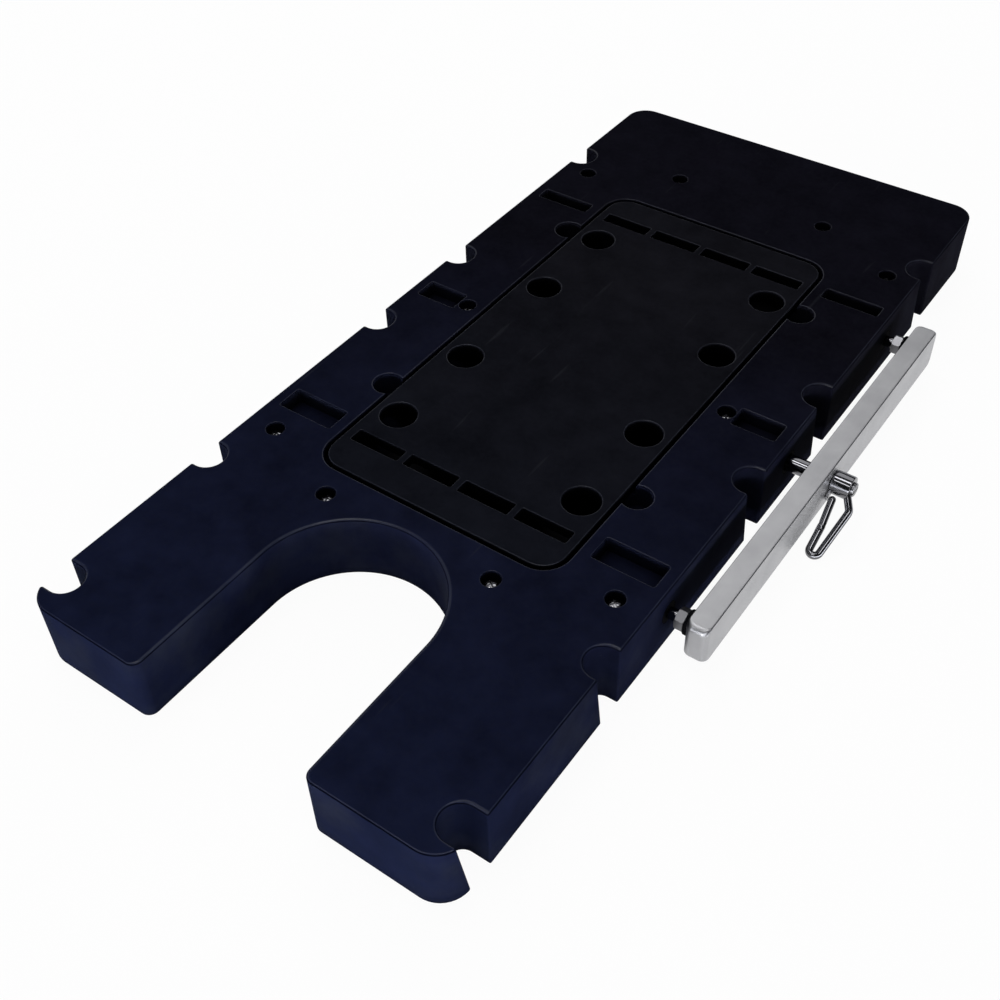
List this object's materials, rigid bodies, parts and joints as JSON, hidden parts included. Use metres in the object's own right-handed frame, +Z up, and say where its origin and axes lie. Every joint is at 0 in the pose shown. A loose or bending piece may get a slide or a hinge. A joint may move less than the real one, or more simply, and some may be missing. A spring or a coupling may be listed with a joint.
{
  "type": "equipment mounting board",
  "caption": "Flat moulded mounting board with a U-shaped front cut-out, edge notches, a lift-out plate with holes and strap slots, a side rail on studs, and a lock pin with a snap link.",
  "frame": {"origin": "on the underside, below the middle of the centre plate", "axes": "+X to the rail side, +Y to the back end away from the cut-out, +Z up"},
  "size_m": [0.375, 0.722, 0.05],
  "materials": {
    "shell": "fine moulded grain",
    "cover": "fine moulded grain",
    "plate": "matt, faintly mottled",
    "screw_steel": "zinc plated",
    "insert_brass": "machined",
    "rail_aluminium": "satin",
    "chrome": "polished",
    "black_bush": "matt"
  },
  "bodies": {
    "board": {"top_shell": "shell", "base_cover": "cover", "deck_screws": "screw_steel", "thread_inserts": "insert_brass", "rail_bar": "rail_aluminium", "front_stud": "chrome", "back_stud": "chrome", "front_lock_nut": "chrome", "back_lock_nut": "chrome", "front_rail_washer": "black_bush", "back_rail_washer": "black_bush", "front_wall_bush": "black_bush", "back_wall_bush": "black_bush", "pin_wall_bush": "black_bush", "front_anchor_washer": "screw_steel", "back_anchor_washer": "screw_steel", "front_anchor_nut": "screw_steel", "back_anchor_nut": "screw_steel"},
    "plate": {"centre_plate": "plate"},
    "pin": {"lock_pin": "chrome", "link_end_screw": "chrome"},
    "link": {"snap_link": "chrome"},
    "gate": {"gate": "chrome", "gate_rivet": "chrome", "gate_spring": "screw_steel"}
  },
  "joints": [
    {"name": "plate_lift", "type": "slide", "parent": "board", "child": "plate", "axis": [0, 0, 1], "range_m": [0, 0.06]},
    {"name": "pin_pull", "type": "slide", "parent": "board", "child": "pin", "axis": [1, 0, 0], "range_m": [0, 0.05]},
    {"name": "link_swing", "type": "hinge", "parent": "pin", "child": "link", "pos_m": [0.2, 0, 0.0285], "axis": [-1, 0, 0], "range_deg": [0, 237.5]},
    {"name": "gate_open", "type": "hinge", "parent": "link", "child": "gate", "pos_m": [0.20055, -0.02804, 0.01308], "axis": [0, 0.4819, -0.8762], "range_deg": [0, 9.5], "stiffness_Nm_per_rad": 0.05, "springref_deg": -17.19}
  ]
}
